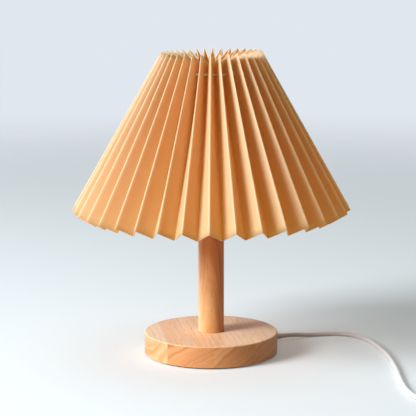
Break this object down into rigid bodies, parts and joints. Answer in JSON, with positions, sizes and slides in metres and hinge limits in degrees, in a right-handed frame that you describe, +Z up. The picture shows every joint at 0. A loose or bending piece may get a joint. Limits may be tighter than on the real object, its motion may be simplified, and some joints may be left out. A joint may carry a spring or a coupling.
{
  "type": "table lamp",
  "caption": "Table lamp with a pleated cone shade that lifts off a wire carrier, a turned wooden stem on a round base, a screw-in bulb and a lead with rocker switch and plug.",
  "frame": {"origin": "middle of the underside of the base's pad, on the lamp's axis", "axes": "+Z up along the stem, -Y towards the viewer of the picture, +X to the right"},
  "size_m": [0.4938, 0.3732, 0.3181],
  "materials": {
    "pleated_paper": "cream pleated sheet that lets light through, matt",
    "white_string": "white cotton string",
    "wood": "pale laminated wood, clear satin lacquer",
    "foam": "dark foam pad",
    "steel": "zinc-plated steel",
    "holder_white": "white moulded plastic",
    "ceramic_insert": "white unglazed ceramic",
    "brass": "plain brass",
    "carrier_white": "white-coated steel wire",
    "opal": "opal diffuser",
    "bulb_white": "white housing",
    "bulb_metal": "rolled aluminium cap",
    "bulb_black": "black insulator",
    "cord_white": "white flexible sheath",
    "core_brown": "brown insulation",
    "core_blue": "blue insulation",
    "switch_white": "white moulded plastic",
    "tie_white": "white strap",
    "pin_metal": "nickel-plated pins",
    "sleeve_black": "black insulating sleeves"
  },
  "bodies": {
    "stand": {"base_pad": "foam", "base_disc": "wood", "stem": "wood", "threaded_rod": "steel", "base_washer": "steel", "base_nut": "steel", "holder_cap": "holder_white", "holder_shell": "holder_white", "holder_insert": "ceramic_insert", "holder_sleeve": "brass", "centre_contact": "brass", "terminal_posts": "brass", "terminal_screws": "steel", "carrier_collar": "carrier_white", "shade_clamp_ring": "holder_white", "carrier_arms": "carrier_white", "carrier_ring": "carrier_white", "cord_gland": "cord_white", "cord_inner": "cord_white", "cord_clamp": "holder_white", "clamp_screws": "steel", "live_core": "core_brown", "neutral_core": "core_blue", "cord_lead": "cord_white", "switch_lower_shell": "switch_white", "switch_upper_shell": "switch_white", "switch_pivot": "steel", "switch_contacts": "brass", "switch_wires": "core_blue", "switch_screws": "steel", "cord_link": "cord_white", "cord_coil": "cord_white", "cord_tie": "tie_white", "cord_tail": "cord_white", "plug_body": "switch_white", "plug_pins": "pin_metal", "plug_sleeves": "sleeve_black"},
    "shade": {"shade_sheet": "pleated_paper", "drawstring": "white_string"},
    "bulb_link": {"bulb_tip": "brass"},
    "bulb": {"bulb_insulator": "bulb_black", "bulb_cap": "bulb_metal", "bulb_housing": "bulb_white", "bulb_globe": "opal"},
    "rocker": {"switch_rocker": "switch_white"}
  },
  "joints": [
    {"name": "shade_lift", "type": "slide", "parent": "stand", "child": "shade", "axis": [0, 0, 1], "range_m": [0, 0.2]},
    {"name": "bulb_rise", "type": "slide", "parent": "stand", "child": "bulb_link", "axis": [0, 0, 1], "range_m": [0, 0.0146]},
    {"name": "bulb_turn", "type": "hinge", "parent": "bulb_link", "child": "bulb", "pos_m": [0, 0, 0.1885], "axis": [0, 0, 1], "range_deg": [0, 1440]},
    {"name": "switch_press", "type": "hinge", "parent": "stand", "child": "rocker", "pos_m": [0.275, -0.216, 0.0126], "axis": [0, 1, 0], "range_deg": [0, 16]}
  ],
  "couplings": [
    {"joint": "bulb_rise", "follows": "bulb_turn", "m_per_rad": 0.00057757}
  ]
}
